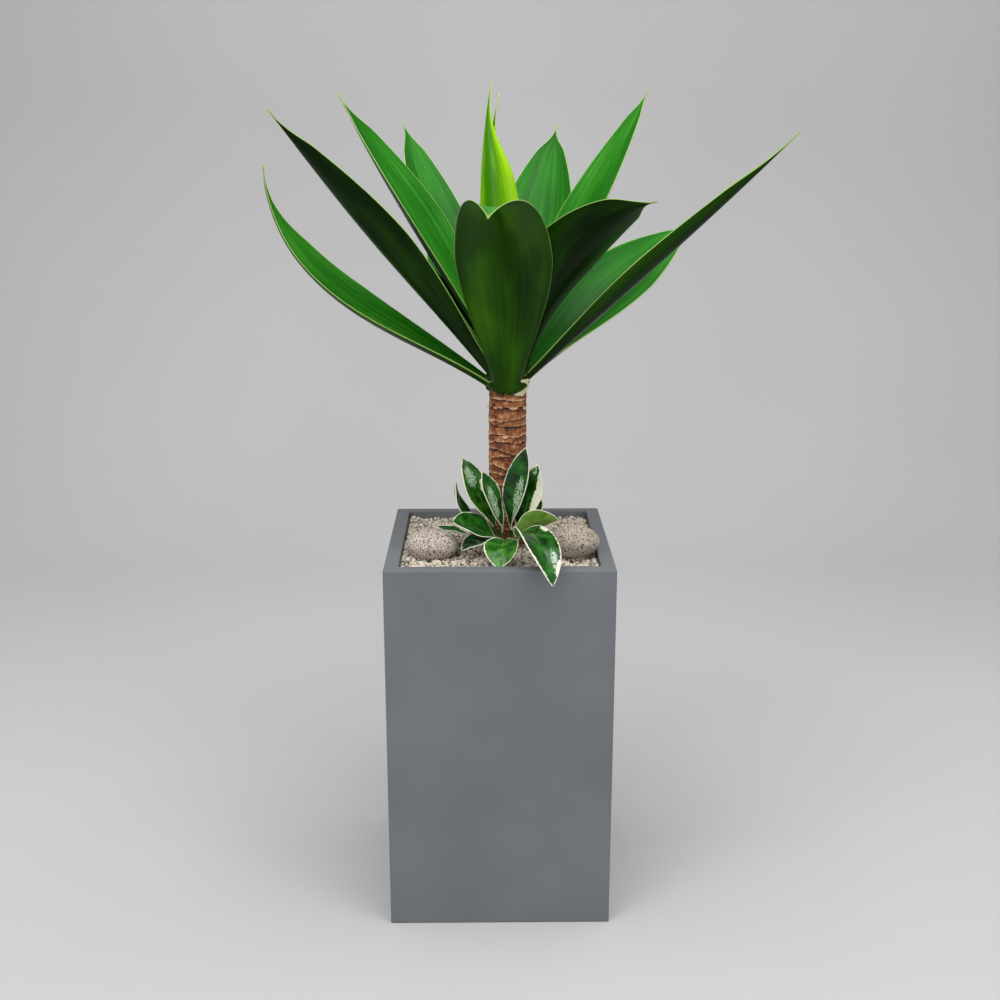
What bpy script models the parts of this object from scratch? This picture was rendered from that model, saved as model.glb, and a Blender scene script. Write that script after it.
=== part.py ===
"""Potted agave: a foliage agave on a bare ringed stem, underplanted with a
variegated pothos, in a square planter topped with gravel and two cobbles.

Metres, +Z up. Origin on the planter's resting face, under its centre.
"""
import bpy
import bmesh
import math
from mathutils import Matrix, Vector

# ---------------------------------------------------------------- dimensions
GAP = 0.0003                 # clearance left between touching pieces

PLANTER_SIDE = 0.300
PLANTER_HEIGHT = 0.510
PLANTER_WALL = 0.0185
PLANTER_FLOOR = 0.020
PLANTER_EDGE = 0.0016        # edge rounding
DRAIN_RADIUS = 0.0065
DRAIN_OFFSET = 0.070         # the four drain holes stand this far off each centre line

SOIL_TOP = 0.472
GRAVEL_TOP = 0.5015
GRAVEL_HEAP = 0.0045         # rise of the gravel towards the stem
GRAVEL_CELLS = 10

STEM_X = 0.012               # stem axis where it enters the crown
STEM_FOOT_X = 0.0100         # stem axis at its buried foot
STEM_FOOT_Z = 0.380
STEM_RADIUS = 0.0262
STEM_SOCKET = 0.0292         # radius of the hole left in gravel and soil
CROWN_Z = 0.722
CROWN_TOP_Z = 0.786

CREEPER_X = 0.012            # centre of the companion plant's crown
CREEPER_Y = -0.045
CREEPER_Z = 0.512
CREEPER_RADIUS = 0.0088
PETIOLE_RING = 0.0112

LEAF_ROWS = 14
LEAF_COLUMNS = 6
SMALL_ROWS = 10
SMALL_COLUMNS = 4

# ------------------------------------------------------------------- leaves
# Each agave leaf: name, compass angle of growth, root radius and height,
# length, width, three climb angles from root to tip, three half-angles of the
# channel across the blade, sideways swing, three roll angles, profile peak,
# base width as a share of the full width, fullness towards the tip, and the
# share of the length that is drawn out into the fine tip.
AGAVE_LEAVES = (
    ("leaf_low_left", 175, 0.0250, 0.728, 0.430, 0.070, (32, 10, 90),
     (40, 45, 50), 0, (-5, -25, -20), 0.50, 0.24, 0.9, 0.30),
    ("leaf_low_right", -10, 0.0250, 0.737, 0.465, 0.070, (42, 41, 45),
     (40, 80, 60), 8, (0, -10, 0), 0.45, 0.24, 0.9, 0.25),
    ("leaf_back_right", 46, 0.0250, 0.728, 0.440, 0.110, (30, 30, 18),
     (40, 25, 30), 0, (0, 40, 0), 0.55, 0.24, 0.9, 0.12),
    ("leaf_back", 107, 0.0250, 0.729, 0.400, 0.110, (35, 30, 20),
     (40, 35, 30), 0, (0, 0, 0), 0.55, 0.24, 0.9, 0.16),
    ("leaf_front", 265, 0.0290, 0.730, 0.408, 0.132, (76, 60, -20),
     (48, 36, 36), 0, (0, 0, 0), 0.42, 0.30, 0.9, 0.0),
    ("leaf_left", 194, 0.0240, 0.745, 0.434, 0.096, (50, 48, 52),
     (40, 50, 55), 0, (0, 30, 10), 0.50, 0.24, 0.9, 0.16),
    ("leaf_front_right", 321, 0.0240, 0.752, 0.350, 0.118, (76, 46, 4),
     (42, 42, 30), -26, (0, -25, -35), 0.42, 0.24, 0.6, 0.22),
    ("leaf_inner_left", 165, 0.0265, 0.762, 0.220, 0.030, (57, 51, 46),
     (42, 42, 36), 0, (0, 0, 0), 0.50, 0.10, 0.9, 0.14),
    ("leaf_back_left", 157, 0.0220, 0.770, 0.400, 0.112, (58, 54, 56),
     (42, 40, 30), 0, (0, 0, 0), 0.50, 0.24, 0.9, 0.16),
    ("leaf_upper_right", 32, 0.0220, 0.772, 0.396, 0.095, (60, 55, 61),
     (42, 35, 30), 0, (0, 0, 0), 0.50, 0.24, 0.9, 0.12),
    ("leaf_upper_left", 128, 0.0240, 0.748, 0.408, 0.085, (54, 54, 50),
     (42, 35, 30), -12, (0, 0, 0), 0.50, 0.24, 0.9, 0.16),
    ("leaf_upper_back", 73, 0.0240, 0.754, 0.390, 0.115, (55, 54, 50),
     (42, 35, 30), 0, (0, 0, 0), 0.50, 0.24, 0.9, 0.14),
)
SPEAR_LEAF = (195, 0.0125, 0.7875, 0.326, 0.122, (76, 89, 100), (125, 145, 72), 0.50, 0.7, 0.36)
SPEAR_THICK = 0.0026
INNER_SPEAR_SHARE = 0.66     # fill of the rolled leaf by the one inside it
SPEAR_BASE = 0.24            # base width as a share of the full width
TAIL_SHARE = 0.12            # width left at the end of a drawn-out tip
LEAF_THICK_BASE = 0.0075
LEAF_THICK_MID = 0.0050
LEAF_THICK_TIP = 0.0016
TIP_HALF_WIDTH = 0.0007

# Each companion leaf: name, angle on the crown where its petiole starts,
# compass angle of growth, length, width, climb angles, swing, roll angles,
# share of the length that is petiole.
CREEPER_LEAVES = (
    ("creeper_leaf_tall", 68, -8, 0.136, 0.035, (92, 80, 72), 0, (0, 84, 78), 0.14),
    ("creeper_leaf_cream", 36, 5, 0.114, 0.042, (74, 74, 75), 0, (0, 60, 55), 0.14),
    ("creeper_leaf_behind", 5, 40, 0.072, 0.030, (58, 46, 46), 0, (0, 10, 0), 0.30),
    ("creeper_leaf_olive", -14, -12, 0.078, 0.036, (80, 40, -15), 0, (-20, -60, -60), 0.12),
    ("creeper_leaf_trailing", 297, 292, 0.170, 0.048, (62, -5, -75), 0, (0, -10, 0), 0.15),
    ("creeper_leaf_heart", 262, 261, 0.092, 0.046, (60, -10, -62), 0, (0, 0, 0), 0.30),
    ("creeper_leaf_small_front", 234, 212, 0.070, 0.038, (38, 18, -40), 0, (0, 0, 0), 0.30),
    ("creeper_leaf_broad", 208, 202, 0.083, 0.047, (52, 38, 5), 0, (-10, -30, -34), 0.12),
    ("creeper_leaf_narrow", 184, 160, 0.095, 0.022, (16, 12, 6), 0, (0, 0, 0), 0.50),
    ("creeper_leaf_far_left", 156, 170, 0.112, 0.034, (22, 50, 92), 0, (0, 0, 0), 0.20),
    ("creeper_leaf_back_left", 130, 170, 0.129, 0.042, (65, 65, 65), 0, (0, -50, -40), 0.20),
    ("creeper_leaf_folded", 106, 202, 0.109, 0.035, (76, 72, 68), 0, (0, -66, -60), 0.15),
)
PETIOLE_SHARE = 0.058        # petiole width as a share of the blade's
PETIOLE_THICK = 0.0024
BLADE_THICK = 0.0011

# --------------------------------------------------------------- scene setup
for old in list(bpy.data.objects):
    bpy.data.objects.remove(old, do_unlink=True)

PARTS = bpy.data.collections.new("potted_agave")
CUTTERS = bpy.data.collections.new("cutters")
bpy.context.scene.collection.children.link(PARTS)
bpy.context.scene.collection.children.link(CUTTERS)


def surface(name, colour, roughness, metallic=0.0):
    material = bpy.data.materials.new(name)
    material.use_nodes = True
    shader = material.node_tree.nodes["Principled BSDF"]
    shader.inputs["Base Color"].default_value = (*colour, 1.0)
    shader.inputs["Roughness"].default_value = roughness
    shader.inputs["Metallic"].default_value = metallic
    material.diffuse_color = (*colour, 1.0)
    return material


FIBRESTONE = surface("grey_fibrestone", (0.155, 0.168, 0.180), 0.75)
SOIL = surface("potting_soil", (0.030, 0.020, 0.013), 0.95)
GRAVEL = surface("granite_gravel", (0.420, 0.380, 0.330), 0.85)
PALE_COBBLE = surface("pale_cobble", (0.560, 0.520, 0.480), 0.80)
DARK_COBBLE = surface("brown_cobble", (0.300, 0.250, 0.205), 0.80)
BARK = surface("stem_bark", (0.180, 0.085, 0.040), 0.85)
AGAVE_GREEN = surface("agave_green", (0.045, 0.170, 0.030), 0.40)
YOUNG_GREEN = surface("young_agave_green", (0.300, 0.480, 0.010), 0.38)
CREEPER_GREEN = surface("variegated_green", (0.060, 0.190, 0.030), 0.35)
PETIOLE_GREEN = surface("petiole_green", (0.330, 0.380, 0.150), 0.50)


def finish(name, mesh, material, collection=None):
    shape = bpy.data.objects.new(name, mesh)
    (collection or PARTS).objects.link(shape)
    mesh.materials.append(material)
    return shape


def mesh_of(name, builder):
    builder.normal_update()
    mesh = bpy.data.meshes.new(name)
    builder.to_mesh(mesh)
    builder.free()
    return mesh


def apply_modifiers(shape):
    depsgraph = bpy.context.evaluated_depsgraph_get()
    evaluated = shape.evaluated_get(depsgraph)
    baked = bpy.data.meshes.new_from_object(evaluated)
    shape.modifiers.clear()
    shape.data = baked


def box(name, low, high, material, collection=None):
    builder = bmesh.new()
    bmesh.ops.create_cube(builder, size=1.0)
    size = Vector(high) - Vector(low)
    centre = (Vector(high) + Vector(low)) / 2
    bmesh.ops.scale(builder, vec=size, verts=builder.verts)
    bmesh.ops.translate(builder, vec=centre, verts=builder.verts)
    return finish(name, mesh_of(name, builder), material, collection)


def cone_cutter(name, foot, top, foot_radius, top_radius, sides=28):
    axis = Vector(top) - Vector(foot)
    builder = bmesh.new()
    bmesh.ops.create_cone(builder, cap_ends=True, cap_tris=False, segments=sides,
                          radius1=foot_radius, radius2=top_radius, depth=axis.length)
    turn = axis.to_track_quat("Z", "Y").to_matrix()
    bmesh.ops.rotate(builder, matrix=turn, verts=builder.verts)
    bmesh.ops.translate(builder, vec=(Vector(foot) + Vector(top)) / 2, verts=builder.verts)
    cutter = finish(name, mesh_of(name, builder), SOIL, CUTTERS)
    hide_cutter(cutter)
    return cutter


def hide_cutter(cutter):
    cutter.hide_render = True
    cutter.display_type = "WIRE"


def cut(shape, cutter):
    modifier = shape.modifiers.new(cutter.name, "BOOLEAN")
    modifier.operation = "DIFFERENCE"
    modifier.solver = "EXACT"
    modifier.object = cutter


# ------------------------------------------------------------------- planter
half = PLANTER_SIDE / 2
inner = half - PLANTER_WALL
planter = box("planter", (-half, -half, 0.0), (half, half, PLANTER_HEIGHT), FIBRESTONE)
rounding = planter.modifiers.new("edge_rounding", "BEVEL")
rounding.width = PLANTER_EDGE
rounding.segments = 2
rounding.limit_method = "ANGLE"
rounding.angle_limit = math.radians(60)
cavity = box("planter_cavity", (-inner, -inner, PLANTER_FLOOR), (inner, inner, PLANTER_HEIGHT + 0.02),
             SOIL, CUTTERS)
hide_cutter(cavity)
cut(planter, cavity)
for x_way in (-1, 1):
    for y_way in (-1, 1):
        x = x_way * DRAIN_OFFSET
        y = y_way * DRAIN_OFFSET
        drain = cone_cutter("planter_drain", (x, y, -0.01), (x, y, PLANTER_FLOOR + 0.01),
                            DRAIN_RADIUS, DRAIN_RADIUS, 16)
        cut(planter, drain)


# ------------------------------------------------------ cobbles on the gravel
def cobble(name, centre, half_axes, turn, material, phase, detail=3, swell=0.0, collection=None):
    builder = bmesh.new()
    bmesh.ops.create_icosphere(builder, subdivisions=detail, radius=1.0)
    for vert in builder.verts:
        x, y, z = vert.co
        broad = 0.035 * math.sin(2.1 * x + phase) * math.cos(1.7 * y - phase)
        lump = 1 + broad + 0.02 * math.sin(3.3 * z + 2 * x)
        vert.co = vert.co * lump
    grown = [axis + swell for axis in half_axes]
    bmesh.ops.scale(builder, vec=grown, verts=builder.verts)
    bmesh.ops.rotate(builder, matrix=Matrix.Rotation(math.radians(turn), 3, "Z"), verts=builder.verts)
    bmesh.ops.translate(builder, vec=centre, verts=builder.verts)
    return finish(name, mesh_of(name, builder), material, collection)


COBBLES = (
    ("cobble_left", (-0.0925, -0.0560, 0.5165), (0.0360, 0.0300, 0.0215), -6, PALE_COBBLE, 0.4),
    ("cobble_right", (0.0990, -0.0640, 0.5225), (0.0345, 0.0300, 0.0225), 8, DARK_COBBLE, 1.9),
)
cobble_cutters = []
for name, centre, half_axes, turn, material, phase in COBBLES:
    cobble(name, centre, half_axes, turn, material, phase)
    seat = cobble(name + "_seat", centre, half_axes, turn, material, phase, 3, 0.0012, CUTTERS)
    hide_cutter(seat)
    cobble_cutters.append(seat)


# ------------------------------------------------------ soil and gravel layer
def stem_axis(z):
    share = (z - STEM_FOOT_Z) / (CROWN_Z - STEM_FOOT_Z)
    return Vector((STEM_FOOT_X + (STEM_X - STEM_FOOT_X) * share, 0.0, z))


stem_hole = cone_cutter("stem_hole", stem_axis(STEM_FOOT_Z - GAP), stem_axis(0.56), STEM_SOCKET,
                        STEM_SOCKET, 24)
creeper_hole = cone_cutter("creeper_hole", (CREEPER_X, CREEPER_Y, 0.440 - GAP),
                           (CREEPER_X, CREEPER_Y, 0.56), CREEPER_RADIUS + GAP + 0.0004,
                           CREEPER_RADIUS + GAP + 0.0004, 20)

side = inner - GAP
soil = box("potting_soil", (-side, -side, PLANTER_FLOOR + GAP), (side, side, SOIL_TOP), SOIL)
cut(soil, stem_hole)
cut(soil, creeper_hole)


def gravel_height(x, y):
    reach = math.hypot(x - STEM_X, y) / 0.13
    heap = GRAVEL_HEAP * max(0.0, 1 - reach * reach)
    ripple = 0.0012 * math.sin(61 * x + 1.1) * math.cos(53 * y - 0.4)
    return GRAVEL_TOP + heap + ripple


builder = bmesh.new()
bmesh.ops.create_grid(builder, x_segments=GRAVEL_CELLS, y_segments=GRAVEL_CELLS, size=side)
floor_faces = list(builder.faces)
raised = bmesh.ops.extrude_face_region(builder, geom=floor_faces)
for item in raised["geom"]:
    if isinstance(item, bmesh.types.BMVert):
        item.co.z = gravel_height(item.co.x, item.co.y)
for vert in builder.verts:
    if vert.co.z < 0.1:
        vert.co.z = SOIL_TOP + GAP
bmesh.ops.triangulate(builder, faces=builder.faces)
bmesh.ops.recalc_face_normals(builder, faces=builder.faces)
gravel = finish("gravel_topping", mesh_of("gravel_topping", builder), GRAVEL)
cut(gravel, stem_hole)
cut(gravel, creeper_hole)
for seat in cobble_cutters:
    cut(gravel, seat)

# --------------------------------------------------------------- agave stem
# The profile runs from the crown down to the foot: shoot tip, leaf-scarred
# trunk with faint rings, then the buried foot.
stem_profile = [(0.0, CROWN_TOP_Z), (0.0090, CROWN_TOP_Z), (0.0150, 0.777), (0.0190, 0.762),
                (0.0215, 0.745), (0.0225, 0.730), (0.0245, CROWN_Z - 0.004)]
ring_count = 15
for ring in range(ring_count):
    share = ring / ring_count
    level = 0.708 + (0.505 - 0.708) * share
    stem_profile.append((STEM_RADIUS + 0.0005 * math.sin(7.3 * ring), level))
    stem_profile.append((STEM_RADIUS - 0.0009, level - 0.0075))
stem_profile += [(STEM_RADIUS, 0.497), (STEM_RADIUS, 0.440), (0.021, 0.400), (0.010, STEM_FOOT_Z + 0.004),
                 (0.0, STEM_FOOT_Z)]
builder = bmesh.new()
previous = None
for radius, level in stem_profile:
    vert = builder.verts.new((radius, 0.0, level))
    if previous is not None:
        builder.edges.new((previous, vert))
    previous = vert
mesh = bpy.data.meshes.new("agave_stem")
builder.to_mesh(mesh)
builder.free()
stem = finish("agave_stem", mesh, BARK)
turning = stem.modifiers.new("turning", "SCREW")
turning.steps = 24
turning.render_steps = 24
turning.use_merge_vertices = True
turning.merge_threshold = 0.0001
apply_modifiers(stem)
builder = bmesh.new()
builder.from_mesh(stem.data)
for vert in builder.verts:
    axis = stem_axis(vert.co.z)
    vert.co.x += axis.x
bmesh.ops.remove_doubles(builder, verts=builder.verts, dist=0.00001)
bmesh.ops.recalc_face_normals(builder, faces=builder.faces)
builder.to_mesh(stem.data)
builder.free()
if not stem.data.materials:
    stem.data.materials.append(BARK)


# ------------------------------------------------------------ leaf geometry
def blend(values, share):
    first, middle, last = values
    rest = 1 - share
    return rest * rest * first + 2 * share * rest * middle + share * share * last


def drawn_tip(share, tail):
    if tail == 0:
        return 1.0
    left = min(1.0, (1 - share) / tail)
    return TAIL_SHARE + (1 - TAIL_SHARE) * left * left * (3 - 2 * left)


def agave_profile(share, base, peak, fullness, tail):
    if share < peak:
        return base + (1 - base) * math.sin(math.pi / 2 * share / peak) ** 1.2
    fall = (share - peak) / (1 - peak)
    return (1 - fall) ** 1.15 * (1 + fullness * fall) * drawn_tip(share, tail)


def creeper_profile(share, petiole):
    blade = max(0.0, (share - petiole) / (1 - petiole))
    if blade < 0.5:
        width = math.sin(math.pi * blade) ** 0.75
    else:
        fall = (blade - 0.5) / 0.5
        width = max(0.0, 1 - fall) ** 0.9 * (1 + 0.9 * fall)
    return max(width, PETIOLE_SHARE)


def midline(root, compass, swing, climb, length, rows):
    points = [Vector(root)]
    for row in range(rows):
        share = (row + 0.5) / rows
        up = math.radians(blend(climb, share))
        around = math.radians(compass + swing * share ** 1.5)
        step = Vector((math.cos(up) * math.cos(around), math.cos(up) * math.sin(around), math.sin(up)))
        points.append(points[-1] + step * (length / rows))
    return points


def leaf_frames(root, compass, swing, climb, roll, length, rows):
    points = midline(root, compass, swing, climb, length, rows)
    frames = []
    for row in range(rows + 1):
        share = row / rows
        up = math.radians(blend(climb, share))
        around = math.radians(compass + swing * share ** 1.5)
        along = Vector((math.cos(up) * math.cos(around), math.cos(up) * math.sin(around), math.sin(up)))
        across = Vector((-math.sin(around), math.cos(around), 0.0))
        face = along.cross(across)
        tilt = math.radians(blend(roll, share))
        side_way = across * math.cos(tilt) + face * math.sin(tilt)
        up_way = face * math.cos(tilt) - across * math.sin(tilt)
        frames.append((points[row], side_way, up_way))
    return frames


def blade_point(frame, half_width, fold, s):
    centre, side_way, up_way = frame
    angle = fold * s
    lateral = half_width * math.sin(angle) / fold
    lift = half_width * (1 - math.cos(angle)) / fold
    return centre + side_way * lateral + up_way * lift


def leaf(name, frames, widths, folds, thickness, columns, material):
    """Blade from a grid bent onto the frames, thickened below its upper face.

    thickness(share, s) gives the thickness in metres.
    """
    rows = len(frames) - 1
    builder = bmesh.new()
    bmesh.ops.create_grid(builder, x_segments=rows, y_segments=columns, size=1.0)
    layer = builder.verts.layers.deform.verify()
    thickest = max(thickness(row / rows, 0.0) for row in range(rows + 1))
    for vert in builder.verts:
        row = round((vert.co.x + 1) / 2 * rows)
        s = vert.co.y
        vert.co = blade_point(frames[row], widths[row], folds[row], s)
        vert[layer][0] = thickness(row / rows, s) / thickest
    shape = finish(name, mesh_of(name, builder), material)
    shape.vertex_groups.new(name="thickness")
    body = shape.modifiers.new("body", "SOLIDIFY")
    body.thickness = thickest
    body.offset = -1.0
    body.vertex_group = "thickness"
    body.use_rim = True
    return shape


def agave_thickness(share, s):
    if share < 0.4:
        middle = LEAF_THICK_BASE + (LEAF_THICK_MID - LEAF_THICK_BASE) * share / 0.4
    else:
        middle = LEAF_THICK_MID + (LEAF_THICK_TIP - LEAF_THICK_MID) * (share - 0.4) / 0.6
    return max(0.0010, middle * (1 - 0.72 * s * s))


# ------------------------------------------------------------- agave leaves
for (name, compass, reach, level, length, width, climb, fold, swing, roll, peak, base, fullness,
     tail) in AGAVE_LEAVES:
    around = math.radians(compass)
    root = (STEM_X + reach * math.cos(around), reach * math.sin(around), level)
    frames = leaf_frames(root, compass, swing, climb, roll, length, LEAF_ROWS)
    widths = []
    folds = []
    for row in range(LEAF_ROWS + 1):
        share = row / LEAF_ROWS
        widths.append(max(TIP_HALF_WIDTH, width / 2 * agave_profile(share, base, peak, fullness, tail)))
        folds.append(math.radians(blend(fold, share)))
    leaf(name, frames, widths, folds, agave_thickness, LEAF_COLUMNS, AGAVE_GREEN)

# ------------------------------------- spear: youngest leaves, still rolled
compass, reach, level, length, width, climb, fold, peak, fullness, tail = SPEAR_LEAF
around = math.radians(compass)
root = (STEM_X + reach * math.cos(around), reach * math.sin(around), level)
spear_rows = 18
spear_frames = leaf_frames(root, compass, 0, climb, (0, 0, 0), length, spear_rows)
spear_widths = []
spear_folds = []
for row in range(spear_rows + 1):
    share = row / spear_rows
    spear_widths.append(max(TIP_HALF_WIDTH, width / 2 * agave_profile(share, SPEAR_BASE, peak, fullness, tail)))
    spear_folds.append(math.radians(blend(fold, share)))


def spear_thickness(share, s):
    return SPEAR_THICK * (1 - 0.6 * s * s) * (1 - 0.6 * share)


leaf("spear_leaf_outer", spear_frames, spear_widths, spear_folds, spear_thickness, 14, YOUNG_GREEN)

inner_profile = []
for row in range(1, spear_rows):
    share = row / spear_rows
    roll_radius = spear_widths[row] / spear_folds[row]
    taper = 1 - max(0.0, share - 0.5) / 0.5
    radius = roll_radius * INNER_SPEAR_SHARE * taper
    centre = spear_frames[row][0] + spear_frames[row][2] * roll_radius * 1.04
    inner_profile.append((max(0.0006, radius), centre))
builder = bmesh.new()
rings = []
for radius, centre in inner_profile:
    ring = bmesh.ops.create_circle(builder, cap_ends=False, segments=12, radius=radius)
    bmesh.ops.translate(builder, vec=centre, verts=ring["verts"])
    rings.append(ring["verts"])
edges = list(builder.edges)
bmesh.ops.bridge_loops(builder, edges=edges)
bmesh.ops.holes_fill(builder, edges=builder.edges, sides=0)
bmesh.ops.recalc_face_normals(builder, faces=builder.faces)
finish("spear_leaf_inner", mesh_of("spear_leaf_inner", builder), YOUNG_GREEN)

# ------------------------------------------------- companion plant's leaves
for name, start, compass, length, width, climb, swing, roll, petiole in CREEPER_LEAVES:
    around = math.radians(start)
    root = (CREEPER_X + PETIOLE_RING * math.cos(around), CREEPER_Y + PETIOLE_RING * math.sin(around),
            CREEPER_Z)
    frames = leaf_frames(root, compass, swing, climb, roll, length, SMALL_ROWS)
    widths = []
    folds = []
    for row in range(SMALL_ROWS + 1):
        share = row / SMALL_ROWS
        widths.append(max(0.0006, width / 2 * creeper_profile(share, petiole)))
        folds.append(math.radians(blend((60, 20, 15), share)))

    def small_thickness(share, s, end=petiole):
        if share <= end:
            return PETIOLE_THICK
        return BLADE_THICK

    leaf(name, frames, widths, folds, small_thickness, SMALL_COLUMNS, CREEPER_GREEN)

# --------------------------------------------------- companion plant's crown
crown = cone_cutter("creeper_crown", (CREEPER_X, CREEPER_Y, 0.440), (CREEPER_X, CREEPER_Y, CREEPER_Z + 0.006),
                    CREEPER_RADIUS, CREEPER_RADIUS * 0.8, 16)
CUTTERS.objects.unlink(crown)
PARTS.objects.link(crown)
crown.hide_render = False
crown.display_type = "TEXTURED"
crown.data.materials.clear()
crown.data.materials.append(PETIOLE_GREEN)

bpy.context.view_layer.update()
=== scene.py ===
"""Potted agave: a bare-stemmed foliage agave over a variegated pothos, in a
square fibrestone planter topped with granite gravel and two cobbles.

Metres, +Z up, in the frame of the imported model.
"""
import math
import random

import bmesh
import bpy
from mathutils import Matrix, Vector, noise


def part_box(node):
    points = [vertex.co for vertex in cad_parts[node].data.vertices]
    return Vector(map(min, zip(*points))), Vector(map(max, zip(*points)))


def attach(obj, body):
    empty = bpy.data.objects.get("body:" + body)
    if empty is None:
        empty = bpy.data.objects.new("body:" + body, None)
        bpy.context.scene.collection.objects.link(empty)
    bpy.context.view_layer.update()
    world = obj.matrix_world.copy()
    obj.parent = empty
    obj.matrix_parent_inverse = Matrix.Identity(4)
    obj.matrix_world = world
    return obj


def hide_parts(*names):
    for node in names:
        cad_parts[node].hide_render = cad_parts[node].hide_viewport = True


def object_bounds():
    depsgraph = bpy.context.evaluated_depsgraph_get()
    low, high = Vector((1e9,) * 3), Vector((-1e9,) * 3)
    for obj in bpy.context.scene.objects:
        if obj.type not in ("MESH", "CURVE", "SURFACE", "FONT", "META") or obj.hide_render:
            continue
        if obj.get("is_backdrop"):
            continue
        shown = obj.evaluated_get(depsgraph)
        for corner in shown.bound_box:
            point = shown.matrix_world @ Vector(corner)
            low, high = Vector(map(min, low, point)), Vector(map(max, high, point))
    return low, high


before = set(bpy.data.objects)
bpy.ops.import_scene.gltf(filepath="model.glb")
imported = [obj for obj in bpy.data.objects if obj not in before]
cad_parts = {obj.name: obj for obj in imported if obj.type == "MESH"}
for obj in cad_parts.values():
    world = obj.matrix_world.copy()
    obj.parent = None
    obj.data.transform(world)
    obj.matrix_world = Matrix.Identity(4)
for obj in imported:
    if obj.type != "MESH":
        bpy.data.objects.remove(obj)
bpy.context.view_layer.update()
rng = random.Random(11)

# Sockets of a colour Mix node.
MIX_BY, MIX_A, MIX_B, MIX_OUT = 0, 6, 7, 2

stem_low, stem_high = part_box("agave_stem")
crown_low, crown_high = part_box("creeper_crown")
gravel_low, gravel_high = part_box("gravel_topping")
soil_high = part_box("potting_soil")[1]

STEM_LEAN = 0.002            # sideways lean of the stem from foot to crown
STEM_HEIGHT_TO_CROWN = 0.342
stem_foot_z = stem_low.z
stem_foot_x = (stem_low.x + stem_high.x) / 2 - STEM_LEAN / 2
stem_crown_x = stem_foot_x + STEM_LEAN
creeper_centre = Vector(((crown_low.x + crown_high.x) / 2, (crown_low.y + crown_high.y) / 2, 0.512))


# ------------------------------------------------------------------- helpers
def linear(hex_colour):
    """sRGB hex colour as linear RGBA."""
    channels = [int(hex_colour[start:start + 2], 16) / 255 for start in (1, 3, 5)]
    return tuple(c / 12.92 if c <= 0.04045 else ((c + 0.055) / 1.055) ** 2.4 for c in channels) + (1.0,)


def per(millimetres):
    """Texture scale for a pattern of that size in object space."""
    return 1000.0 / millimetres


def add(tree, kind, sockets=None, stops=None, **settings):
    """Adds one node with its settings, and fills or links its inputs."""
    node = tree.nodes.new(kind)
    for key, value in settings.items():
        setattr(node, key, value)
    if stops:
        elements = node.color_ramp.elements
        elements[0].position, elements[0].color = stops[0]
        elements[1].position, elements[1].color = stops[-1]
        for place, colour in stops[1:-1]:
            elements.new(place).color = colour
    for key, value in (sockets or {}).items():
        if isinstance(value, bpy.types.NodeSocket):
            tree.links.new(value, node.inputs[key])
        else:
            node.inputs[key].default_value = value
    return node


def finish_named(name, roughness, ior=1.45):
    """New material and the tree and shader to build on."""
    made = bpy.data.materials.new(name)
    made.use_nodes = True
    shader = made.node_tree.nodes["Principled BSDF"]
    shader.inputs["Roughness"].default_value = roughness
    shader.inputs["IOR"].default_value = ior
    return made, made.node_tree, shader


def mesh_of(name, builder, smooth=True):
    builder.normal_update()
    mesh = bpy.data.meshes.new(name)
    builder.to_mesh(mesh)
    builder.free()
    for face in mesh.polygons:
        face.use_smooth = smooth
    return mesh


def piece(name, mesh, materials, stands_for=()):
    shape = bpy.data.objects.new(name, mesh)
    bpy.context.scene.collection.objects.link(shape)
    for each in materials:
        mesh.materials.append(each)
    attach(shape, "root")
    if stands_for:
        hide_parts(*stands_for)
    return shape


def blend(values, share):
    """Smooth value along a length, from its first, middle and last."""
    first, middle, last = values
    rest = 1 - share
    return rest * rest * first + 2 * share * rest * middle + share * share * last


def ease(low, high, value):
    place = min(1.0, max(0.0, (value - low) / (high - low)))
    return place * place * (3 - 2 * place)


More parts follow.
